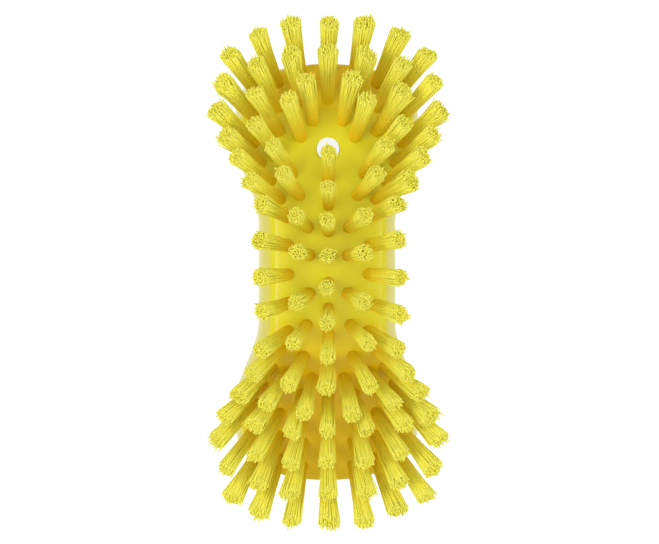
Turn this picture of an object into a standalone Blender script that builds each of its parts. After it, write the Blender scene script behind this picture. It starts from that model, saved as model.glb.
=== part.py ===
"""Hand scrub brush: an hourglass block whose domed deck carries fans of stiff filament tufts.

The brush lies on its back. +Z is up through the bristles, +Y points to the end with the hanging
hole, and the origin is the middle of the face it rests on. Lengths are in metres.
"""
import math

import bmesh
import bpy
from mathutils import Matrix, Vector

# Block, seen from above
BLOCK_LENGTH = 0.1366
WAIST_WIDTH = 0.0446
END_WIDTH = 0.0602
WAIST_STRAIGHT = 0.016   # from the middle to where the flare starts
END_ROUND = 0.0243       # length of the rounded ends
SHOULDER_WAIST = 0.005   # how far the deck's edge lies inside the widest outline
SHOULDER_FLARE = 0.003   # the same beside the rounded ends, where the block is widest
SHOULDER_END = 0.0003

# Block, seen from the side
BLOCK_HEIGHT = 0.038
DECK_FALL_ALONG = 0.0179  # from the top of the dome to the deck's end
DECK_FALL_ACROSS = 0.0013
PALM_INSET_SIDE = 0.0125  # from the widest outline in to the flat that the brush rests on
PALM_INSET_END = 0.015

# Hanging hole
HOLE_DIAMETER = 0.0072      # at the deck
HOLE_BACK_DIAMETER = 0.01   # the hole widens towards the back
HOLE_FROM_END = 0.0278
HOLE_EDGE_ROUND = 0.0008

# Tufts
TUFT_LENGTH = 0.024
TUFT_ROOT_RADIUS = 0.0012   # from the tuft's middle to the middle of an outer strand
TUFT_TIP_RADIUS = 0.0029
STRAND_ROOT_RADIUS = 0.00054
STRAND_TIP_RADIUS = 0.00054
STRAND_SUNK = 0.0005
STRAND_STAGGER = 0.0005
OUTER_STRANDS = 4
STRAND_SIDES = 3
TILT_AT_WAIST_DEGREES = 30  # at the deck's edge, across the waist
TILT_AT_SIDE_DEGREES = 37.5   # the same beside the rounded ends
TILT_AT_END_DEGREES = 46    # along the block, in the last tufts
END_ROW_INSET = 0.0037      # from the deck's end to the middle of the last tufts

# Backing slices that the tufts stand in
SLICE_MARGIN = 0.00036      # round the feet of the tufts
SLICE_DEPTH = 0.0025
CLEARANCE = 0.0003

# Rows of tufts: name, start and end as shares of the deck's half width and half length, number of
# tufts, and whether the row has a copy on the other side. The hole lies towards "toe".
ROWS = (
    ("centre_toe_waist", (0.0, 0.09), (0.0, 0.48), 4, False),
    ("centre_heel_waist", (0.0, -0.04), (0.0, -0.42), 4, False),
    ("centre_toe_end", (0.0, 0.88), (0.0, 1.0), 2, False),
    ("centre_heel_end", (0.0, -0.59), (0.0, -0.98), 4, False),
    ("inner_toe", (0.36, 0.1), (0.38, 0.24), 2, True),
    ("inner_heel", (0.36, -0.09), (0.39, -0.41), 3, True),
    ("link_toe", (0.47, 0.4), (0.49, 0.51), 2, True),
    ("link_heel", (0.21, -0.52), (0.56, -0.49), 2, True),
    ("waist", (0.74, 0.29), (0.74, -0.28), 5, True),
    ("flank_toe", (0.8, 0.38), (0.87, 0.56), 3, True),
    ("flank_heel", (0.8, -0.37), (0.87, -0.55), 3, True),
    ("corner_toe", (0.89, 0.66), (0.81, 0.89), 3, True),
    ("corner_heel", (0.89, -0.65), (0.8, -0.89), 3, True),
    ("beside_hole", (0.32, 0.69), (0.18, 0.77), 2, True),
    ("fan_inner_toe", (0.31, 0.87), (0.32, 1.0), 2, True),
    ("fan_inner_heel", (0.31, -0.6), (0.31, -0.98), 4, True),
    ("fan_outer_toe", (0.6, 0.6), (0.6, 0.96), 4, True),
    ("fan_outer_heel", (0.61, -0.58), (0.58, -0.94), 4, True),
)

# Section of the block's side: share of the inset, share of the height of the deck's edge
SHOULDER_SHARES = (
    (0.9, 0.991), (0.8, 0.977), (0.68, 0.949), (0.5, 0.885), (0.28, 0.79), (0.08, 0.67), (0.0, 0.5),
)
PALM_SHARES = ((0.03, 0.29), (0.15, 0.17), (0.37, 0.075), (0.68, 0.02), (1.0, 0.0))

# Fineness of the surfaces
SIDE_STEPS = 14
CAP_STEPS = 16
DECK_RINGS = 5
HOLE_SIDES = 24
SLICE_STEP = 0.009
CUTTER_RISE = 0.0015

# Colours
BLOCK_YELLOW = (0.72, 0.56, 0.012, 1.0)
FILAMENT_YELLOW = (0.74, 0.66, 0.04, 1.0)

CAP_START = BLOCK_LENGTH / 2 - END_ROUND
FLARE_LENGTH = CAP_START - WAIST_STRAIGHT
SLICE_RADIUS = TUFT_ROOT_RADIUS + STRAND_ROOT_RADIUS + SLICE_MARGIN
DECK_HALF_LENGTH = BLOCK_LENGTH / 2 - SHOULDER_END
END_ROW = DECK_HALF_LENGTH - END_ROW_INSET
HOLE_Y = BLOCK_LENGTH / 2 - HOLE_FROM_END


def clear_scene():
    for obj in list(bpy.data.objects):
        bpy.data.objects.remove(obj, do_unlink=True)


def new_collection(name, hidden=False):
    collection = bpy.data.collections.new(name)
    collection.hide_render = hidden
    bpy.context.scene.collection.children.link(collection)
    return collection


def plain_material(name, colour, roughness):
    material = bpy.data.materials.new(name)
    material.use_nodes = True
    shader = material.node_tree.nodes["Principled BSDF"]
    shader.inputs["Base Color"].default_value = colour
    shader.inputs["Roughness"].default_value = roughness
    shader.inputs["Metallic"].default_value = 0.0
    material.diffuse_color = colour
    return material


def mesh_object(name, built, collection, material=None):
    """An object made from a bmesh, which is freed."""
    bmesh.ops.recalc_face_normals(built, faces=built.faces)
    mesh = bpy.data.meshes.new(name)
    built.to_mesh(mesh)
    built.free()
    mesh.shade_smooth()
    mesh.set_sharp_from_angle(angle=math.radians(40))
    obj = bpy.data.objects.new(name, mesh)
    collection.objects.link(obj)
    if material:
        mesh.materials.append(material)
    else:
        obj.hide_render = True
        obj.display_type = "WIRE"
    return obj


def swell(y):
    """0 along the waist, rising smoothly to 1 where the ends are widest."""
    t = min(max((abs(y) - WAIST_STRAIGHT) / FLARE_LENGTH, 0.0), 1.0)
    return t * t * (3 - 2 * t)


def palm_half_width(y):
    return (WAIST_WIDTH + (END_WIDTH - WAIST_WIDTH) * swell(y)) / 2


def shoulder_inset(y):
    return SHOULDER_WAIST + (SHOULDER_FLARE - SHOULDER_WAIST) * swell(y)


def deck_half_width(y):
    return palm_half_width(y) - shoulder_inset(y)


def deck_height(x, y):
    along = DECK_FALL_ALONG * (y / DECK_HALF_LENGTH) ** 2
    across = DECK_FALL_ACROSS * (x / deck_half_width(y)) ** 4
    return BLOCK_HEIGHT - along - across


def outline(half_width, cap_length):
    """Points round the block, anticlockwise: straight or flared sides and rounded ends."""
    side_ys = [CAP_START * (2 * i / SIDE_STEPS - 1) for i in range(SIDE_STEPS)]
    right = [(half_width(y), y) for y in side_ys]
    cap = []
    for i in range(CAP_STEPS):
        turn = math.pi * i / CAP_STEPS
        bulge = math.sqrt(max(math.sin(turn), 0.0))
        cap.append((half_width(CAP_START) * math.cos(turn), CAP_START + cap_length * bulge))
    half = right + cap
    return half + [(-x, -y) for x, y in half]


def palm_outline(share):
    inset = PALM_INSET_SIDE * share
    return outline(lambda y: palm_half_width(y) - inset, END_ROUND - PALM_INSET_END * share)


def shoulder_outline(share):
    cap_length = END_ROUND - SHOULDER_END * share
    return outline(lambda y: palm_half_width(y) - shoulder_inset(y) * share, cap_length)


def add_ring(built, points):
    return [built.verts.new(point) for point in points]


def bridge(built, lower, upper):
    count = len(lower)
    for i in range(count):
        j = (i + 1) % count
        built.faces.new((lower[i], lower[j], upper[j], upper[i]))


def build_block(collection, cutters, material, pockets):
    """The moulded block, lofted from the resting face up over the side to the ridge of the deck."""
    edge = shoulder_outline(1.0)
    rings = [(palm_outline(share), rise) for share, rise in reversed(PALM_SHARES)]
    rings += [(shoulder_outline(share), rise) for share, rise in reversed(SHOULDER_SHARES)]
    built = bmesh.new()
    lofted = []
    for points, rise in rings:
        heights = [deck_height(x, y) * rise for x, y in edge]
        lofted.append(add_ring(built, [(x, y, z) for (x, y), z in zip(points, heights)]))
    for step in range(DECK_RINGS + 1):
        share = 1 - step / DECK_RINGS
        points = outline(lambda y: deck_half_width(y) * share, (END_ROUND - SHOULDER_END) * share)
        lofted.append(add_ring(built, [(x, y, deck_height(x, y)) for x, y in points]))
    built.faces.new(list(reversed(lofted[0])))
    for lower, upper in zip(lofted, lofted[1:]):
        bridge(built, lower, upper)
    bmesh.ops.remove_doubles(built, verts=built.verts, dist=1e-7)
    block = mesh_object("block", built, collection, material)
    for name, cutter in (("hanging hole", build_hole_cutter(cutters)), ("pockets", pockets)):
        cut = block.modifiers.new(name, "BOOLEAN")
        cut.operation = "DIFFERENCE"
        cut.solver = "EXACT"
        cut.use_self = True
        cut.object = cutter
    return block


def build_hole_cutter(cutters):
    """A turned cutter that widens towards the back, and a little more where it leaves each face."""
    top = deck_height(0.0, HOLE_Y)
    bore = HOLE_DIAMETER / 2
    wide = bore + HOLE_EDGE_ROUND
    back_bore = HOLE_BACK_DIAMETER / 2
    back_wide = back_bore + HOLE_EDGE_ROUND
    profile = (
        (0.0, top + CUTTER_RISE),
        (wide + CUTTER_RISE, top + CUTTER_RISE),
        (wide, top),
        (bore, top - HOLE_EDGE_ROUND),
        (back_bore, HOLE_EDGE_ROUND),
        (back_wide, 0.0),
        (back_wide + CUTTER_RISE, -CUTTER_RISE),
        (0.0, -CUTTER_RISE),
    )
    built = bmesh.new()
    points = [built.verts.new((x, 0.0, z)) for x, z in profile]
    for first, second in zip(points, points[1:]):
        built.edges.new((first, second))
    bmesh.ops.spin(
        built,
        geom=built.verts[:] + built.edges[:],
        axis=(0, 0, 1),
        cent=(0, 0, 0),
        angle=2 * math.pi,
        steps=HOLE_SIDES,
        use_merge=True,
    )
    bmesh.ops.remove_doubles(built, verts=built.verts, dist=1e-6)
    cutter = mesh_object("hanging_hole_cutter", built, cutters)
    cutter.location = (0.0, HOLE_Y, 0.0)
    return cutter


def row_roots(start, end, count, side):
    """Where a row's tufts stand, on a straight line between two places on the deck."""
    ends = []
    for across, along in (start, end):
        y = along * END_ROW
        ends.append(Vector((side * across * deck_half_width(y), y)))
    return [ends[0].lerp(ends[1], i / (count - 1)) for i in range(count)]


def tuft_direction(root):
    """Tufts fan out, in proportion to their place across the deck and along it."""
    widening = TILT_AT_SIDE_DEGREES - TILT_AT_WAIST_DEGREES
    side = TILT_AT_WAIST_DEGREES + widening * swell(root.y)
    across = math.radians(side) * root.x / deck_half_width(root.y)
    along = math.radians(TILT_AT_END_DEGREES) * root.y / END_ROW
    return Vector((math.tan(across), math.tan(along), 1.0)).normalized()


def slab(built, roots, grow, rise, depth):
    """A round-ended slab along a row that follows the deck, widened by grow all round."""
    radius = SLICE_RADIUS + grow
    forward = (roots[-1] - roots[0]).normalized()
    sideways = Vector((-forward.y, forward.x))
    first = -radius
    length = (roots[-1] - roots[0]).length
    last = length + radius
    nose = [radius * share for share in (0.12, 0.45, 0.9)]
    steps = max(round(length / SLICE_STEP), 2)
    run = [length * (i + 0.5) / steps for i in range(steps)]
    stations = [first + n for n in nose] + run + [last - n for n in reversed(nose)]
    loops = []
    for station in stations:
        inside = min(station - first, last - station, radius)
        half = math.sqrt(radius ** 2 - (radius - inside) ** 2)
        loop = []
        for lift, offsets in ((rise, (half, -half)), (-depth, (-half, half))):
            for offset in offsets:
                at = roots[0] + forward * station + sideways * offset
                loop.append(built.verts.new((at.x, at.y, deck_height(at.x, at.y) + lift)))
        loops.append(loop)
    for lower, upper in zip(loops, loops[1:]):
        bridge(built, lower, upper)
    built.faces.new(loops[0])
    built.faces.new(list(reversed(loops[-1])))


def add_strand(built, root, tip):
    """One tapered strand from just below the deck to its free end."""
    along = tip - root
    turn = along.to_track_quat("Z", "X").to_matrix().to_4x4()
    bmesh.ops.create_cone(
        built,
        cap_ends=True,
        segments=STRAND_SIDES,
        radius1=STRAND_ROOT_RADIUS,
        radius2=STRAND_TIP_RADIUS,
        depth=along.length,
        matrix=Matrix.Translation((root + tip) / 2) @ turn,
    )


def add_tuft(built, root):
    """A middle strand with others round it that spread towards their free ends."""
    direction = tuft_direction(root)
    across = Vector((1.0, 0.0, 0.0))
    across = (across - across.dot(direction) * direction).normalized()
    upright = direction.cross(across)
    middle = Vector((root.x, root.y, deck_height(root.x, root.y)))
    add_strand(built, middle - direction * STRAND_SUNK, middle + direction * (TUFT_LENGTH + STRAND_STAGGER))
    for i in range(OUTER_STRANDS):
        turn = 2 * math.pi * (i + 0.5) / OUTER_STRANDS
        x = root.x + TUFT_ROOT_RADIUS * math.cos(turn)
        y = root.y + TUFT_ROOT_RADIUS * math.sin(turn)
        foot = Vector((x, y, deck_height(x, y)))
        spread = across * math.cos(turn) + upright * math.sin(turn)
        length = TUFT_LENGTH - STRAND_STAGGER * (i % 2)
        tip = middle + direction * length + spread * TUFT_TIP_RADIUS
        add_strand(built, foot - (tip - foot).normalized() * STRAND_SUNK, tip)


def build_row(name, roots, collection, cutters, material):
    """A slice of backing with its tufts fused to it."""
    built = bmesh.new()
    slab(built, roots, 0.0, 0.0, SLICE_DEPTH)
    row = mesh_object(name, built, collection, material)
    built = bmesh.new()
    for root in roots:
        add_tuft(built, root)
    strands = mesh_object(name + "_strands", built, cutters)
    fuse = row.modifiers.new("tufts", "BOOLEAN")
    fuse.operation = "UNION"
    fuse.solver = "EXACT"
    fuse.object = strands
    return row


def all_rows():
    """Each row's name and the places of its tufts."""
    rows = []
    for name, start, end, count, mirrored in ROWS:
        if not mirrored:
            rows.append(("tufts_" + name, row_roots(start, end, count, 1)))
            continue
        for side, word in ((-1, "left"), (1, "right")):
            rows.append(("tufts_" + name + "_" + word, row_roots(start, end, count, side)))
    return rows


def build_brush():
    clear_scene()
    brush = new_collection("scrub_brush")
    cutters = new_collection("scrub_brush_cutters", hidden=True)
    moulded = plain_material("moulded_yellow", BLOCK_YELLOW, 0.42)
    filament = plain_material("filament_yellow", FILAMENT_YELLOW, 0.5)
    rows = all_rows()
    built = bmesh.new()
    for name, roots in rows:
        slab(built, roots, CLEARANCE, CUTTER_RISE, SLICE_DEPTH + CLEARANCE)
    pockets = mesh_object("tuft_pocket_cutter", built, cutters)
    build_block(brush, cutters, moulded, pockets)
    for name, roots in rows:
        build_row(name, roots, brush, cutters, filament)


build_brush()
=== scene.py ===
"""Looks of the hand scrub brush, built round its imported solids.

The block is one smooth moulding with a drilled hole for each tuft and a rounded hanging hole.
Each tuft is a bundle of separate filaments that leans out of its hole and spreads a little
towards its trimmed end. Lengths are in metres. The block and the rows follow the same sizes and
formulas as the part's own source.
"""

import math

import bmesh
import bpy
import numpy as np
from mathutils import Matrix, Vector


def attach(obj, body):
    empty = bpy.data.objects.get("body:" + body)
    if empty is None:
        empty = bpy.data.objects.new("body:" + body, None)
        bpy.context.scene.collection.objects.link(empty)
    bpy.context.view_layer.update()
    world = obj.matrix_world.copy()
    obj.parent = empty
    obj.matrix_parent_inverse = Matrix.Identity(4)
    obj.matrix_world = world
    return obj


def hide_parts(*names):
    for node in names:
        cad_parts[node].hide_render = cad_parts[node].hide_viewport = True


# Block, with the part's own sizes
BLOCK_LENGTH = 0.1366
WAIST_WIDTH = 0.0446
END_WIDTH = 0.0602
WAIST_STRAIGHT = 0.016
END_ROUND = 0.0243
SHOULDER_WAIST = 0.005
SHOULDER_FLARE = 0.003
SHOULDER_END = 0.0003
BLOCK_HEIGHT = 0.038
DECK_FALL_ALONG = 0.0179
DECK_FALL_ACROSS = 0.0013
PALM_INSET_SIDE = 0.0125
PALM_INSET_END = 0.015
HOLE_DIAMETER = 0.0072
HOLE_BACK_DIAMETER = 0.01
HOLE_FROM_END = 0.0278

# Section of the block's side: share of the inset, share of the height of the deck's edge
SHOULDER_SHARES = (
    (0.95, 0.9965), (0.9, 0.992), (0.85, 0.9865), (0.8, 0.979), (0.74, 0.967), (0.68, 0.95),
    (0.6, 0.923), (0.5, 0.887), (0.39, 0.841), (0.28, 0.79), (0.17, 0.73), (0.08, 0.665),
    (0.02, 0.58), (0.0, 0.5), (0.0, 0.42),
)
PALM_SHARES = ((0.03, 0.29), (0.15, 0.17), (0.37, 0.075), (0.68, 0.02), (1.0, 0.0))

# Tufts, with the part's own sizes
TUFT_LENGTH = 0.024
TILT_AT_WAIST = math.radians(30)
TILT_AT_SIDE = math.radians(37.5)
TILT_AT_END = math.radians(46)
END_ROW_INSET = 0.0037

# Rows of tufts: name, start and end as shares of the deck's half width and half length, number of
# tufts, and whether the row has a copy on the other side
ROWS = (
    ("centre_toe_waist", (0.0, 0.09), (0.0, 0.48), 4, False),
    ("centre_heel_waist", (0.0, -0.04), (0.0, -0.42), 4, False),
    ("centre_toe_end", (0.0, 0.88), (0.0, 1.0), 2, False),
    ("centre_heel_end", (0.0, -0.59), (0.0, -0.98), 4, False),
    ("inner_toe", (0.36, 0.1), (0.38, 0.24), 2, True),
    ("inner_heel", (0.36, -0.09), (0.39, -0.41), 3, True),
    ("link_toe", (0.47, 0.4), (0.49, 0.51), 2, True),
    ("link_heel", (0.21, -0.52), (0.56, -0.49), 2, True),
    ("waist", (0.74, 0.29), (0.74, -0.28), 5, True),
    ("flank_toe", (0.8, 0.38), (0.87, 0.56), 3, True),
    ("flank_heel", (0.8, -0.37), (0.87, -0.55), 3, True),
    ("corner_toe", (0.89, 0.66), (0.81, 0.89), 3, True),
    ("corner_heel", (0.89, -0.65), (0.8, -0.89), 3, True),
    ("beside_hole", (0.32, 0.69), (0.18, 0.77), 2, True),
    ("fan_inner_toe", (0.31, 0.87), (0.32, 1.0), 2, True),
    ("fan_inner_heel", (0.31, -0.6), (0.31, -0.98), 4, True),
    ("fan_outer_toe", (0.6, 0.6), (0.6, 0.96), 4, True),
    ("fan_outer_heel", (0.61, -0.58), (0.58, -0.94), 4, True),
)

# Fineness of the block's surface
SIDE_STEPS = 56
CAP_STEPS = 64
SECTION_STEPS = 3
DECK_RINGS = 20
HOLE_SIDES = 64
HOLE_ROUND_STEPS = 5
MERGE_DISTANCE = 1e-7
BLOCK_SHARP_ANGLE = math.radians(40)

# Fine line where the halves of the mould met
SEAM_HEIGHT = 0.0001  # how far it stands out of the side
SEAM_LEVEL = 0.35  # its middle, as a share of the height of the deck's edge
SEAM_HALF_WIDTH = 0.008  # as a share of the same height
SEAM_STEPS = (-1.0, -0.4, 0.0, 0.4, 1.0)  # places across it, as shares of its half width

# Rounded edges of the hanging hole
HOLE_EDGE_ROUND = 0.0009
HOLE_CUTTER_RISE = 0.002  # how far its cutter stands out of the block

# Drilled holes that the tufts stand in
DRILL_RADIUS = 0.0019
DRILL_DEPTH = 0.0022
DRILL_RIM = 0.00006  # how much wider they are at the deck
DRILL_SIDES = 28
DRILL_CUTTER_RISE = 0.0028  # how far their cutter stands out of the deck

# Filaments of a tuft
FILAMENTS = 240
FILAMENT_ROOT_RADIUS = 0.00012
FILAMENT_TIP_RADIUS = 0.00023
FILAMENT_SIDES = 5
FILAMENT_STEPS = 3
FILAMENT_SUNK = 0.0018  # how far below the deck they start
FILAMENT_SHARP_ANGLE = math.radians(60)
CUT_END_LENGTH = 0.5  # how far the cut end stands past the tip, as a share of the tip's radius
CUT_END_RADIUS = 0.6  # radius of the cut end, as a share of the tip's
LEANING_ALONG_X = 0.8  # from this share of its length on, a filament counts as lying along X
SEED = 42

# Bundle that they make
BUNDLE_ROOT_RADIUS = 0.00185
BUNDLE_TIP_RADIUS = 0.00215  # at the middle of the brush
BUNDLE_SPREAD = 0.00045  # how much wider the tips are at the deck's edge
WIDENING_POWER = 0.8  # how early the bundle widens: under 1 it does so near its foot
CENTRE_LEAN = 0.0008  # how far the tips of the centre line lean to the left at the waist
CENTRE_LEAN_FALL = 3  # that lean is gone at 1 / 3 of the deck's half width
LEAST_LEAN = 1e-6  # stands in for no lean at all, which nothing can be divided by
FAN_LEAN_GAIN = 2.5  # how soon a leaning tuft fans out sideways in full
FAN_POWER = 1.5  # how late it fans out and parts: over 1 it does so near its tips

# What chance decides in each tuft
PLACE_SHAKE = 0.012  # how far filaments are off an even spread, as a share of the radius
LEAN_SHAKE = 0.00028  # how far the tips lean
TIP_RADIUS_SHARES = (0.94, 1.06)  # how wide the tips of one tuft are, as shares of the usual
PARTING = 0.0001  # how far the two halves of the tuft part at the tips
FAN_SHARES = (0.05, 0.28)  # how much a leaning tuft widens sideways
CLUMPS = 42  # places where filaments close up
CLUMP_SHAKE = 0.06  # how far those are off an even spread
CLUMP_PULL = 0.04  # how far the filaments close up, as a share of the way
STRAY = 0.0004  # how far a filament's tip strays
LOOSE_SHARE = 0.25  # share of the filaments that are loose
LOOSE_STRAY = 1.6  # how many times as far those stray
LOOSE_LENGTH = 0.0012  # how much longer those are at the most
TRIM_SHORT = 0.0003  # how much shorter than the strands of the solids they are trimmed
TRIM_SLANT = 0.0005  # how far the trimmed end slants
TRIM_UNEVEN = 0.0011  # how far single filaments stay below it
TONE_BY_CHANCE = 0.45  # share of a filament's tone that its place in the tuft doesn't decide; the rest is painted shade, deeper towards the tuft's middle

# Moulding: pairs of colours that a cloudy pattern mixes. The walls' pair is darker painted shade, and
# the ends' pair is golden painted shade on the deck
PAINTED_SHADE_WALL_COLOURS = ((0.71, 0.615, 0.01, 1), (0.74, 0.645, 0.013, 1))
MIDDLE_COLOURS = ((0.765, 0.715, 0.016, 1), (0.795, 0.745, 0.019, 1))
PAINTED_SHADE_END_COLOURS = ((0.86, 0.61, 0.001, 1), (0.89, 0.64, 0.002, 1))
CLOUD_SCALE = 28.0
CLOUD_DETAIL = 3.0
CLOUD_RANGE = (0.3, 0.7)
GRAIN_SCALE = 1500.0
GRAIN_DETAIL = 2.0
GRAIN_STRENGTH = 0.25
GRAIN_HEIGHT = 0.00004
MIDDLE_Y = 0.017  # middle of the stretch that has the middle's colour, without the ends' painted shade
END_SHADE_DISTANCES = (0.029, 0.047)  # from there to where the ends' painted shade begins and is full
END_SHADE_SLOPES = (0.7, 0.86)  # how much a surface faces up where the ends' painted shade begins and is full
WALL_SHADE_SLOPES = (0.35, 0.75)  # the same for the middle's colour, which the walls' painted shade gives way to
BLOCK_ROUGHNESS = (0.2, 0.26)
BLOCK_SPECULAR = 0.25
BLOCK_SPECULAR_TINT = (1.0, 0.97, 0.88, 1)

# Filament: pair of colours by tone, which is partly painted shade, with golden painted shade at the foot
# and paler at the tip
FILAMENT_COLOURS = ((0.94, 0.86, 0.06, 1), (0.94, 0.89, 0.12, 1))
FOOT_SHADE_COLOUR = (0.99, 0.72, 0.001, 1)
FOOT_SHADE_END = 0.75  # share of the length where the foot's painted shade ends
TIP_COLOUR = (0.84, 0.81, 0.14, 1)
TIP_START = 0.85  # share of the length where the tip's colour begins
TIP_STRENGTH = 0.5  # share of the tip's colour at the very end
FILAMENT_ROUGHNESS = (0.56, 0.68)
FILAMENT_SPECULAR = 0.14

# Camera
PHOTO_WIDTH = 659
PIXELS_PER_METRE = 3004  # at one metre from the camera
SENSOR_WIDTH = 36.0  # in millimetres
CAMERA_PLACE = (-0.0217, 0.0464, 1.0)
CAMERA_AIM = (0.0012, -0.0007, 0.0)

# Floor and surroundings
WHITE = (1, 1, 1, 1)
FLOOR_REACH = 3.0
FLOOR_BELOW = 0.0001  # how far it lies below the brush
FLOOR_COLOUR = (0.8, 0.8, 0.8, 1)
FLOOR_COLOUR_SEEN = (0.25, 0.25, 0.25, 1)  # where the camera or a gloss sees it
FLOOR_GLOW_SEEN = 0.9  # its glow there
FLOOR_ROUGHNESS = 0.9
FLOOR_SPECULAR = 0.1
SKY_HEIGHTS = (0.0, 0.8)
SKY_STRENGTHS = (0.44, 0.74)  # at those heights
SKY_STRENGTH_SEEN = 1.0  # where the camera or a gloss sees it

# Lamps: name, place, length, width, power
LAMPS = (
    ("soft_top", (-0.12, -0.42, 1.3), 1.4, 1.4, 2.8),
    ("soft_left", (-0.58, 0.03, 0.92), 0.8, 0.05, 3.3),
    ("soft_right", (0.66, 0.03, 0.88), 0.8, 0.05, 2.2),
)

CAP_START = BLOCK_LENGTH / 2 - END_ROUND
FLARE_LENGTH = CAP_START - WAIST_STRAIGHT
DECK_HALF_LENGTH = BLOCK_LENGTH / 2 - SHOULDER_END
END_ROW = DECK_HALF_LENGTH - END_ROW_INSET
HOLE_Y = BLOCK_LENGTH / 2 - HOLE_FROM_END


# The block's form

def swell(y):
    """0 along the waist, rising smoothly to 1 where the ends are widest."""
    t = min(max((abs(y) - WAIST_STRAIGHT) / FLARE_LENGTH, 0.0), 1.0)
    return t * t * (3 - 2 * t)


def palm_half_width(y):
    return (WAIST_WIDTH + (END_WIDTH - WAIST_WIDTH) * swell(y)) / 2


def shoulder_inset(y):
    return SHOULDER_WAIST + (SHOULDER_FLARE - SHOULDER_WAIST) * swell(y)


def deck_half_width(y):
    return palm_half_width(y) - shoulder_inset(y)


def deck_height(x, y):
    """The deck falls towards both ends, and a little towards its sides."""
    along = DECK_FALL_ALONG * (y / DECK_HALF_LENGTH) ** 2
    across = DECK_FALL_ACROSS * (x / deck_half_width(y)) ** 4
    return BLOCK_HEIGHT - along - across


def outline(half_width, cap_length):
    """Points round the block, anticlockwise: straight or flared sides and rounded ends."""
    side_ys = [CAP_START * (2 * i / SIDE_STEPS - 1) for i in range(SIDE_STEPS)]
    right = [(half_width(y), y) for y in side_ys]
    cap = []
    for i in range(CAP_STEPS):
        turn = math.pi * i / CAP_STEPS
        bulge = math.sqrt(math.sin(turn))
        cap.append((half_width(CAP_START) * math.cos(turn), CAP_START + cap_length * bulge))
    half = right + cap
    return half + [(-x, -y) for x, y in half]


def palm_outline(share):
    inset = PALM_INSET_SIDE * share
    return outline(lambda y: palm_half_width(y) - inset, END_ROUND - PALM_INSET_END * share)


def shoulder_outline(share):
    cap_length = END_ROUND - SHOULDER_END * share
    return outline(lambda y: palm_half_width(y) - shoulder_inset(y) * share, cap_length)


def seam_outline(out):
    return outline(lambda y: palm_half_width(y) + out, END_ROUND + out)


def smooth_section(points):
    """The section's points with a smooth curve through them."""
    padded = [points[0], *points, points[-1]]
    curve = []
    for k in range(len(points) - 1):
        before, start, end, after = (np.array(point, float) for point in padded[k:k + 4])
        for i in range(SECTION_STEPS):
            t = i / SECTION_STEPS
            even = 2 * start + (end - before) * t
            bend = (2 * before - 5 * start + 4 * end - after) * t ** 2
            turn = (3 * start - before - 3 * end + after) * t ** 3
            curve.append(tuple((even + bend + turn) / 2))
    curve.append(tuple(points[-1]))
    return curve


def section_rings():
    """Outlines and height shares from the resting face up to the deck's edge."""
    rings = []
    for share, rise in reversed(smooth_section(PALM_SHARES)):
        rings.append((palm_outline(max(share, 0.0)), max(rise, 0.0)))
    for step in SEAM_STEPS:
        rise = SEAM_LEVEL + SEAM_HALF_WIDTH * step
        rings.append((seam_outline(SEAM_HEIGHT * (1 - abs(step))), rise))
    for share, rise in reversed(smooth_section(SHOULDER_SHARES)):
        rings.append((shoulder_outline(max(share, 0.0)), rise))
    return rings


def add_points(built, points):
    return [built.verts.new(point) for point in points]


def bridge(built, lower, upper):
    """Faces between two rings with the same number of points."""
    count = len(lower)
    for i in range(count):
        j = (i + 1) % count
        built.faces.new((lower[i], lower[j], upper[j], upper[i]))


def new_object(name, built):
    """An object from what is built, with its faces turned outwards."""
    bmesh.ops.recalc_face_normals(built, faces=built.faces)
    mesh = bpy.data.meshes.new(name)
    built.to_mesh(mesh)
    built.free()
    obj = bpy.data.objects.new(name, mesh)
    bpy.context.scene.collection.objects.link(obj)
    return obj


def solid_block():
    """The block from its resting face to its deck, without any hole."""
    edge = shoulder_outline(1.0)
    built = bmesh.new()
    lofted = []
    for points, rise in section_rings():
        heights = [deck_height(x, y) * rise for x, y in edge]
        lofted.append(add_points(built, [(x, y, z) for (x, y), z in zip(points, heights)]))
    for step in range(DECK_RINGS + 1):
        share = 1 - step / DECK_RINGS
        points = outline(lambda y: deck_half_width(y) * share, (END_ROUND - SHOULDER_END) * share)
        lofted.append(add_points(built, [(x, y, deck_height(x, y)) for x, y in points]))
    built.faces.new(list(reversed(lofted[0])))
    for lower, upper in zip(lofted, lofted[1:]):
        bridge(built, lower, upper)
    bmesh.ops.remove_doubles(built, verts=built.verts, dist=MERGE_DISTANCE)
    return new_object("moulded_block", built)


def edge_round(radius, level, inward):
    """Quarter round from a face of the block, at this level, to the wall of the hanging hole."""
    points = []
    for i in range(HOLE_ROUND_STEPS + 1):
        turn = math.pi / 2 * i / HOLE_ROUND_STEPS
        lean = HOLE_EDGE_ROUND * (1 - math.sin(turn))
        points.append((radius + lean, level + inward * HOLE_EDGE_ROUND * (1 - math.cos(turn))))
    return points


def hole_cutter():
    """A turned cutter with a quarter round where it leaves each face of the block."""
    deck = edge_round(HOLE_DIAMETER / 2, deck_height(0.0, HOLE_Y), -1)
    back = edge_round(HOLE_BACK_DIAMETER / 2, 0.0, 1)
    top = deck[0][1] + HOLE_CUTTER_RISE
    profile = [(0.0, top), (deck[0][0], top), *deck, *reversed(back)]
    profile += [(back[0][0], -HOLE_CUTTER_RISE), (0.0, -HOLE_CUTTER_RISE)]
    built = bmesh.new()
    points = add_points(built, [(x, 0.0, z) for x, z in profile])
    for first, second in zip(points, points[1:]):
        built.edges.new((first, second))
    bmesh.ops.spin(
        built,
        geom=built.verts[:] + built.edges[:],
        axis=(0, 0, 1),
        cent=(0, 0, 0),
        angle=2 * math.pi,
        steps=HOLE_SIDES,
        use_merge=True,
    )
    bmesh.ops.remove_doubles(built, verts=built.verts, dist=MERGE_DISTANCE)
    cutter = new_object("hanging_hole_cutter", built)
    cutter.location = (0.0, HOLE_Y, 0.0)
    return cutter


# The tufts' places

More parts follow.
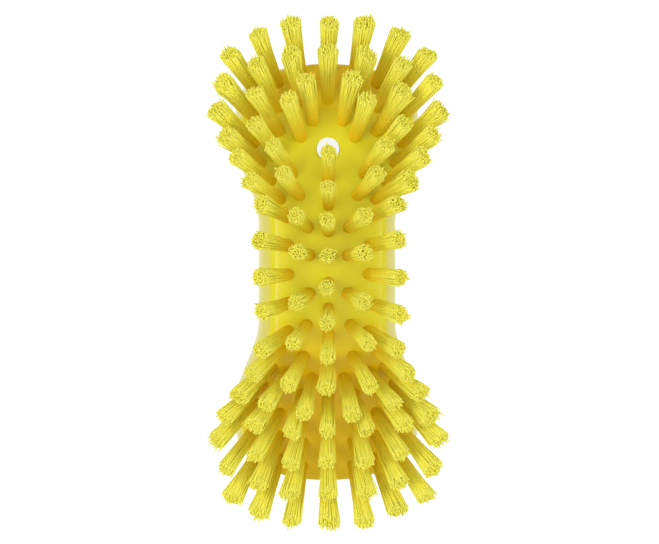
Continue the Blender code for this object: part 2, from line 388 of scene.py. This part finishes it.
def row_roots(start, end, count, side):
    """Places of a row's tufts seen from above, evenly spaced from its start to its end."""
    ends = []
    for across, along in (start, end):
        y = along * END_ROW
        ends.append(Vector((side * across * deck_half_width(y), y)))
    return [ends[0].lerp(ends[1], i / (count - 1)) for i in range(count)]


def all_rows():
    """Each row's name with the places of its tufts."""
    rows = []
    for name, start, end, count, mirrored in ROWS:
        if not mirrored:
            rows.append((name, row_roots(start, end, count, 1)))
            continue
        for side, word in ((-1, "left"), (1, "right")):
            rows.append((name + "_" + word, row_roots(start, end, count, side)))
    return rows


def tuft_direction(root):
    """The further out a tuft stands, the more it leans outwards."""
    side = TILT_AT_WAIST + (TILT_AT_SIDE - TILT_AT_WAIST) * swell(root.y)
    across = side * root.x / deck_half_width(root.y)
    along = TILT_AT_END * root.y / END_ROW
    return Vector((math.tan(across), math.tan(along), 1.0)).normalized()


def tuft_frame(root):
    """The tuft's foot on the deck, its direction, and two directions square to it."""
    direction = tuft_direction(root)
    across = Vector((1.0, 0.0, 0.0))
    across = (across - across.dot(direction) * direction).normalized()
    foot = Vector((root.x, root.y, deck_height(root.x, root.y)))
    return foot, direction, across, direction.cross(across)


# The holes in the block

def add_drill(built, root):
    """The cutter of one drilled hole: a round bore that widens a little at the deck."""
    foot, direction, across, upright = tuft_frame(root)
    rings = (
        (-DRILL_DEPTH, DRILL_RADIUS),
        (-DRILL_RIM * 2, DRILL_RADIUS),
        (DRILL_RIM * 2, DRILL_RADIUS + DRILL_RIM),
        (DRILL_CUTTER_RISE, DRILL_RADIUS + DRILL_RIM),
    )
    loops = []
    for lift, radius in rings:
        points = []
        for i in range(DRILL_SIDES):
            turn = 2 * math.pi * i / DRILL_SIDES
            side = across * math.cos(turn) + upright * math.sin(turn)
            points.append(foot + direction * lift + side * radius)
        loops.append(add_points(built, points))
    built.faces.new(list(reversed(loops[0])))
    for lower, upper in zip(loops, loops[1:]):
        bridge(built, lower, upper)
    built.faces.new(loops[-1])


def drill_cutter(rows):
    """All the drilled holes as one cutter."""
    built = bmesh.new()
    for _, roots in rows:
        for root in roots:
            add_drill(built, root)
    return new_object("drill_cutter", built)


def cut(obj, cutter):
    """Takes the cutter out of the object and removes the cutter."""
    modifier = obj.modifiers.new("cut", "BOOLEAN")
    modifier.operation = "DIFFERENCE"
    modifier.solver = "EXACT"
    modifier.object = cutter
    bpy.context.view_layer.update()
    graph = bpy.context.evaluated_depsgraph_get()
    mesh = bpy.data.meshes.new_from_object(obj.evaluated_get(graph))
    obj.modifiers.clear()
    old = obj.data
    obj.data = mesh
    bpy.data.meshes.remove(old)
    bpy.data.objects.remove(cutter, do_unlink=True)


def build_block(rows):
    """The moulding with its holes, in place of the block."""
    block = solid_block()
    cut(block, hole_cutter())
    cut(block, drill_cutter(rows))
    block.data.shade_smooth()
    block.data.set_sharp_from_angle(angle=BLOCK_SHARP_ANGLE)
    block.data.materials.clear()
    block.data.materials.append(block_material())
    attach(block, "root")
    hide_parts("block")


# Paths of the filaments, with their spread and lean given square to the tuft

def disc_points(count, rng, shake):
    """Points spread evenly over a round disc, turned and shaken a little."""
    i = np.arange(count)
    golden = math.pi * (3 - math.sqrt(5))
    radius = np.sqrt((i + 0.5) / count)
    turn = i * golden + rng.uniform(0, 2 * math.pi)
    place = np.stack([radius * np.cos(turn), radius * np.sin(turn)], axis=1)
    return place + rng.normal(0, shake, place.shape)


def closing_up(place, rng):
    """The way that each filament closes up with others, towards the nearest of some places."""
    clumps = disc_points(CLUMPS, rng, CLUMP_SHAKE)
    nearest = np.linalg.norm(place[:, None] - clumps[None], axis=2).argmin(axis=1)
    return (clumps[nearest] - place) * CLUMP_PULL


def tip_lean(outward, endward, rng):
    """How far the tips lean: by chance, and on the centre line to the left."""
    lean = rng.normal(0, LEAN_SHAKE, 2)
    from_centre = max(1 - CENTRE_LEAN_FALL * abs(outward), 0.0)
    lean[0] -= CENTRE_LEAN * from_centre * (1 - endward ** 2)
    return lean


def tip_bundle_radius(outward, endward, rng):
    """Radius of the tuft over its tips, which is larger towards the deck's edge."""
    spread = BUNDLE_SPREAD * max(outward ** 2, endward ** 2)
    return (BUNDLE_TIP_RADIUS + spread) * rng.uniform(*TIP_RADIUS_SHARES)


def tip_parting(place, rng):
    """The way that each filament moves as the halves of the tuft part."""
    turn = rng.uniform(0, math.pi)
    way = np.array([math.cos(turn), math.sin(turn)])
    side = np.sign(place @ way)
    return np.outer(side, way) * abs(rng.normal(0, PARTING))


def sideways_fan(direction, across, upright, rng):
    """The direction in which a leaning tuft widens, and how much."""
    sideways = np.array([-direction[1], direction[0], 0.0])
    lean = np.linalg.norm(sideways)
    way = np.array([sideways @ across, sideways @ upright]) / max(lean, LEAST_LEAN)
    return way, rng.uniform(*FAN_SHARES) * min(FAN_LEAN_GAIN * lean ** 2, 1.0)


def tip_stray(place, rng):
    """How far each filament's tip strays, and which filaments are loose and stray further."""
    stray = rng.uniform(-STRAY, STRAY, place.shape)
    loose = rng.random(FILAMENTS) < LOOSE_SHARE
    stray[loose] *= LOOSE_STRAY
    return stray, loose


def trimmed_lengths(place, loose, rng):
    """Length of each filament above the deck, trimmed a little aslant and unevenly."""
    slant = place @ rng.normal(0, TRIM_SLANT, 2)
    length = TUFT_LENGTH - TRIM_SHORT + slant - rng.uniform(0, TRIM_UNEVEN, FILAMENTS)
    length[loose] += rng.uniform(0, LOOSE_LENGTH, loose.sum())
    return length


def filament_tones_and_inner_shade(place, rng):
    """0 to 1 for each filament, partly by chance and partly painted shade that rises from the tuft's
    middle to its outside, so that inner filaments are more golden.
    """
    outside = np.clip(np.linalg.norm(place, axis=1), 0, 1) ** 2
    return TONE_BY_CHANCE * rng.random(FILAMENTS) + (1 - TONE_BY_CHANCE) * outside


def tuft_filaments(root, rng):
    """Points along every filament of a tuft, and each one's tone."""
    foot, direction, across, upright = (np.array(v) for v in tuft_frame(root))
    outward = root.x / deck_half_width(root.y)
    endward = root.y / END_ROW
    place = disc_points(FILAMENTS, rng, PLACE_SHAKE)
    closing = closing_up(place, rng)
    lean = tip_lean(outward, endward, rng)
    tip_radius = tip_bundle_radius(outward, endward, rng)
    parting = tip_parting(place, rng)
    fan_way, fan = sideways_fan(direction, across, upright, rng)
    stray, loose = tip_stray(place, rng)
    length = trimmed_lengths(place, loose, rng)
    points = []
    for step in range(FILAMENT_STEPS + 1):
        t = step / FILAMENT_STEPS
        late = t ** FAN_POWER
        size = BUNDLE_ROOT_RADIUS + (tip_radius - BUNDLE_ROOT_RADIUS) * t ** WIDENING_POWER
        offset = (place + closing * t ** 2) * size + lean * t * t + stray * t ** 3
        offset = offset + parting * late
        offset = offset + np.outer(offset @ fan_way, fan_way) * fan * late
        way = (length + FILAMENT_SUNK) * t - FILAMENT_SUNK
        risen = foot + np.outer(way, direction)
        points.append(risen + np.outer(offset[:, 0], across) + np.outer(offset[:, 1], upright))
    return np.array(points).transpose(1, 0, 2), filament_tones_and_inner_shade(place, rng)


# Meshes of the filaments

def filament_rings(paths):
    """Rings of a few points round each path, and a smaller one just past its end."""
    along = paths[:, -1] - paths[:, 0]
    along /= np.linalg.norm(along, axis=1, keepdims=True)
    leaning = np.abs(along[:, :1]) >= LEANING_ALONG_X
    helper = np.where(leaning, [[0.0, 1.0, 0.0]], [[1.0, 0.0, 0.0]])
    first = np.cross(along, helper)
    first /= np.linalg.norm(first, axis=1, keepdims=True)
    second = np.cross(along, first)
    turns = 2 * math.pi * np.arange(FILAMENT_SIDES) / FILAMENT_SIDES
    cosines = np.cos(turns)[None, :, None]
    sines = np.sin(turns)[None, :, None]
    ring = first[:, None] * cosines + second[:, None] * sines
    radii = np.linspace(FILAMENT_ROOT_RADIUS, FILAMENT_TIP_RADIUS, paths.shape[1])
    rings = paths[:, :, None] + ring[:, None] * radii[None, :, None, None]
    tip = paths[:, -1:, None] + along[:, None, None] * FILAMENT_TIP_RADIUS * CUT_END_LENGTH
    tip = tip + ring[:, None] * FILAMENT_TIP_RADIUS * CUT_END_RADIUS
    return np.concatenate([rings, tip], axis=1)


def tube_faces(levels):
    """Faces of one tube with this many rings, closed at both ends."""
    faces = []
    for level in range(levels - 1):
        low = level * FILAMENT_SIDES
        high = low + FILAMENT_SIDES
        for i in range(FILAMENT_SIDES):
            j = (i + 1) % FILAMENT_SIDES
            faces.append((low + i, low + j, high + j, high + i))
    last = (levels - 1) * FILAMENT_SIDES
    faces.append(tuple(reversed(range(FILAMENT_SIDES))))
    faces.append(tuple(range(last, last + FILAMENT_SIDES)))
    return faces


def add_values(mesh, name, values):
    """A number for each point of the mesh, which its material reads by this name."""
    layer = mesh.attributes.new(name, "FLOAT", "POINT")
    layer.data.foreach_set("value", values.astype(np.float32))


def filament_mesh(name, paths, tones):
    """Tubes of a few sides along the paths as one mesh, with its tone and share along."""
    rings = filament_rings(paths)
    count, levels = rings.shape[:2]
    per_tube = levels * FILAMENT_SIDES
    tube = tube_faces(levels)
    faces = []
    for base in range(0, count * per_tube, per_tube):
        faces.extend(tuple(base + i for i in face) for face in tube)
    mesh = bpy.data.meshes.new(name)
    mesh.from_pydata(rings.reshape(-1, 3).tolist(), [], faces)
    shares = np.minimum(np.arange(levels) / FILAMENT_STEPS, 1.0)
    add_values(mesh, "tone", np.repeat(tones, per_tube))
    add_values(mesh, "along", np.tile(np.repeat(shares, FILAMENT_SIDES), count))
    mesh.shade_smooth()
    mesh.set_sharp_from_angle(angle=FILAMENT_SHARP_ANGLE)
    return mesh


def build_bristles(rows, material):
    """One mesh of filaments for each row, in place of the row's tufts."""
    rng = np.random.default_rng(SEED)
    for name, roots in rows:
        paths = []
        tones = []
        for root in roots:
            path, tone = tuft_filaments(root, rng)
            paths.append(path)
            tones.append(tone)
        mesh = filament_mesh("bristles_" + name, np.concatenate(paths), np.concatenate(tones))
        mesh.materials.append(material)
        obj = bpy.data.objects.new("bristles_" + name, mesh)
        bpy.context.scene.collection.objects.link(obj)
        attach(obj, "root")
        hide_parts("tufts_" + name)


# Materials

def shader_material(name):
    material = bpy.data.materials.new(name)
    material.use_nodes = True
    tree = material.node_tree
    return material, tree, tree.nodes["Principled BSDF"]


def feed(tree, socket, value):
    """Gives a socket its value: a number, a colour or another node's output."""
    if isinstance(value, bpy.types.NodeSocket):
        tree.links.new(value, socket)
    else:
        socket.default_value = value


def set_up(tree, node, **values):
    """Gives a node its settings and sockets by name, with an underscore for each space."""
    for key, value in values.items():
        if hasattr(node, key):
            setattr(node, key, value)
        else:
            feed(tree, node.inputs[key.replace("_", " ")], value)
    return node


def add_node(tree, kind, **values):
    return set_up(tree, tree.nodes.new(kind), **values)


def math_node(tree, operation, *values):
    made = add_node(tree, "ShaderNodeMath", operation=operation)
    for socket, value in zip(made.inputs, values):
        feed(tree, socket, value)
    return made.outputs[0]


def mix_numbers(tree, share, first, second):
    """A mix of two numbers. The node's sockets go by place, because their names repeat."""
    made = tree.nodes.new("ShaderNodeMix")
    for place, value in ((0, share), (2, first), (3, second)):
        feed(tree, made.inputs[place], value)
    return made.outputs[0]


def mix_colours(tree, share, first, second):
    """The same for two colours."""
    made = add_node(tree, "ShaderNodeMix", data_type="RGBA")
    for place, value in ((0, share), (6, first), (7, second)):
        feed(tree, made.inputs[place], value)
    return made.outputs[2]


def map_range(tree, value, source, target=(0.0, 1.0)):
    """The value taken from the source range to the target range, and kept within it."""
    made = add_node(tree, "ShaderNodeMapRange", Value=value)
    set_up(tree, made, From_Min=source[0], From_Max=source[1])
    set_up(tree, made, To_Min=target[0], To_Max=target[1])
    return made.outputs["Result"]


def component(tree, vector, axis):
    """The part of a vector that is along one axis."""
    return add_node(tree, "ShaderNodeSeparateXYZ", Vector=vector).outputs[axis]


def noise(tree, place, scale, detail):
    return add_node(tree, "ShaderNodeTexNoise", Vector=place, Scale=scale, Detail=detail).outputs["Fac"]


def block_colour_with_painted_shade(tree, places, cloud):
    """Cloudy yellow, with painted shade: darker on the walls and golden on the deck towards both ends.
    """
    shade = map_range(tree, cloud, CLOUD_RANGE)
    # Painted shade: the walls get a darker pair of colours.
    wall = mix_colours(tree, shade, *PAINTED_SHADE_WALL_COLOURS)
    middle = mix_colours(tree, shade, *MIDDLE_COLOURS)
    # Painted shade: the deck gets a golden pair of colours towards both ends, where the tufts shade it.
    ends = mix_colours(tree, shade, *PAINTED_SHADE_END_COLOURS)
    from_middle = math_node(tree, "SUBTRACT", component(tree, places["Object"], "Y"), MIDDLE_Y)
    near_shaded_end = map_range(tree, math_node(tree, "ABSOLUTE", from_middle), END_SHADE_DISTANCES)
    upward = component(tree, places["Normal"], "Z")
    end_shade_share = math_node(tree, "MULTIPLY", near_shaded_end, map_range(tree, upward, END_SHADE_SLOPES))
    plain = mix_colours(tree, map_range(tree, upward, WALL_SHADE_SLOPES), wall, middle)
    return mix_colours(tree, end_shade_share, plain, ends)


def block_material():
    material, tree, shader = shader_material("yellow_moulding")
    places = tree.nodes.new("ShaderNodeTexCoord").outputs
    cloud = noise(tree, places["Object"], CLOUD_SCALE, CLOUD_DETAIL)
    grain = noise(tree, places["Object"], GRAIN_SCALE, GRAIN_DETAIL)
    bump = add_node(tree, "ShaderNodeBump", Height=grain, Strength=GRAIN_STRENGTH, Distance=GRAIN_HEIGHT)
    set_up(
        tree,
        shader,
        Base_Color=block_colour_with_painted_shade(tree, places, cloud),
        Roughness=map_range(tree, cloud, CLOUD_RANGE, BLOCK_ROUGHNESS),
        Specular_IOR_Level=BLOCK_SPECULAR,
        Specular_Tint=BLOCK_SPECULAR_TINT,
        Normal=bump.outputs["Normal"],
    )
    return material


def filament_material():
    material, tree, shader = shader_material("yellow_filament")
    tone = add_node(tree, "ShaderNodeAttribute", attribute_name="tone").outputs["Fac"]
    along = add_node(tree, "ShaderNodeAttribute", attribute_name="along").outputs["Fac"]
    # Partly painted shade: filaments in the tuft's middle get the more golden colour of the pair.
    plain = mix_colours(tree, tone, *FILAMENT_COLOURS)
    # Painted shade: each filament is golden towards its foot.
    foot = map_range(tree, along, (0.0, FOOT_SHADE_END), (1.0, 0.0))
    body = mix_colours(tree, foot, plain, FOOT_SHADE_COLOUR)
    tip = map_range(tree, along, (TIP_START, 1.0), (0.0, TIP_STRENGTH))
    set_up(
        tree,
        shader,
        Base_Color=mix_colours(tree, tip, body, TIP_COLOUR),
        Roughness=map_range(tree, tone, (0.0, 1.0), FILAMENT_ROUGHNESS),
        Specular_IOR_Level=FILAMENT_SPECULAR,
    )
    return material


# Stage

def build_camera():
    data = bpy.data.cameras.new("camera")
    data.sensor_width = SENSOR_WIDTH
    data.lens = data.sensor_width * PIXELS_PER_METRE / PHOTO_WIDTH
    camera = bpy.data.objects.new("camera", data)
    bpy.context.scene.collection.objects.link(camera)
    camera.location = CAMERA_PLACE
    back = (Vector(CAMERA_PLACE) - Vector(CAMERA_AIM)).normalized()
    right = Vector((0.0, 1.0, 0.0)).cross(back).normalized()
    camera.rotation_euler = Matrix((right, back.cross(right), back)).transposed().to_euler()
    bpy.context.scene.camera = camera


def seen_directly(tree):
    """1 for what the camera, a gloss or a clear material sees of a surface, and otherwise 0."""
    rays = tree.nodes.new("ShaderNodeLightPath").outputs
    seen = math_node(tree, "MAXIMUM", rays["Is Camera Ray"], rays["Is Glossy Ray"])
    return math_node(tree, "MAXIMUM", seen, rays["Is Transmission Ray"])


def build_floor():
    built = bmesh.new()
    bmesh.ops.create_grid(built, x_segments=1, y_segments=1, size=FLOOR_REACH)
    floor = new_object("floor", built)
    floor.location = (0.0, 0.0, -FLOOR_BELOW)
    material, tree, shader = shader_material("pale_floor")
    seen = seen_directly(tree)
    set_up(
        tree,
        shader,
        Base_Color=mix_colours(tree, seen, FLOOR_COLOUR, FLOOR_COLOUR_SEEN),
        Roughness=FLOOR_ROUGHNESS,
        Specular_IOR_Level=FLOOR_SPECULAR,
        Emission_Color=WHITE,
        Emission_Strength=map_range(tree, seen, (0.0, 1.0), (0.0, FLOOR_GLOW_SEEN)),
    )
    floor.data.materials.append(material)


def build_world():
    """White where it is seen directly, and otherwise a sky that is brighter overhead."""
    world = bpy.data.worlds.new("studio")
    bpy.context.scene.world = world
    world.use_nodes = True
    tree = world.node_tree
    height = component(tree, tree.nodes.new("ShaderNodeTexCoord").outputs["Generated"], "Z")
    sky = map_range(tree, height, SKY_HEIGHTS, SKY_STRENGTHS)
    strength = mix_numbers(tree, seen_directly(tree), sky, SKY_STRENGTH_SEEN)
    set_up(tree, tree.nodes["Background"], Color=WHITE, Strength=strength)


def build_lamps():
    """Rectangular lamps that point at the brush."""
    for name, place, length, width, power in LAMPS:
        data = bpy.data.lights.new(name, "AREA")
        data.shape = "RECTANGLE"
        data.size = length
        data.size_y = width
        data.energy = power
        lamp = bpy.data.objects.new(name, data)
        bpy.context.scene.collection.objects.link(lamp)
        lamp.location = place
        lamp.rotation_euler = (-Vector(place)).to_track_quat("-Z", "Y").to_euler()


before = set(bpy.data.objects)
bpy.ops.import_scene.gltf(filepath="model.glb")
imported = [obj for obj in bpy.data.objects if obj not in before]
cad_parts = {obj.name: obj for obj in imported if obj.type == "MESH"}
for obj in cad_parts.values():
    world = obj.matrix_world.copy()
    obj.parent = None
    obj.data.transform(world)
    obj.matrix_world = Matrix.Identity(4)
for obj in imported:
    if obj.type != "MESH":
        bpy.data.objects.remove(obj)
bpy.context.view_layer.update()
bpy.context.scene.view_settings.view_transform = "Standard"
tuft_rows = all_rows()
build_block(tuft_rows)
build_bristles(tuft_rows, filament_material())
build_camera()
build_floor()
build_world()
build_lamps()
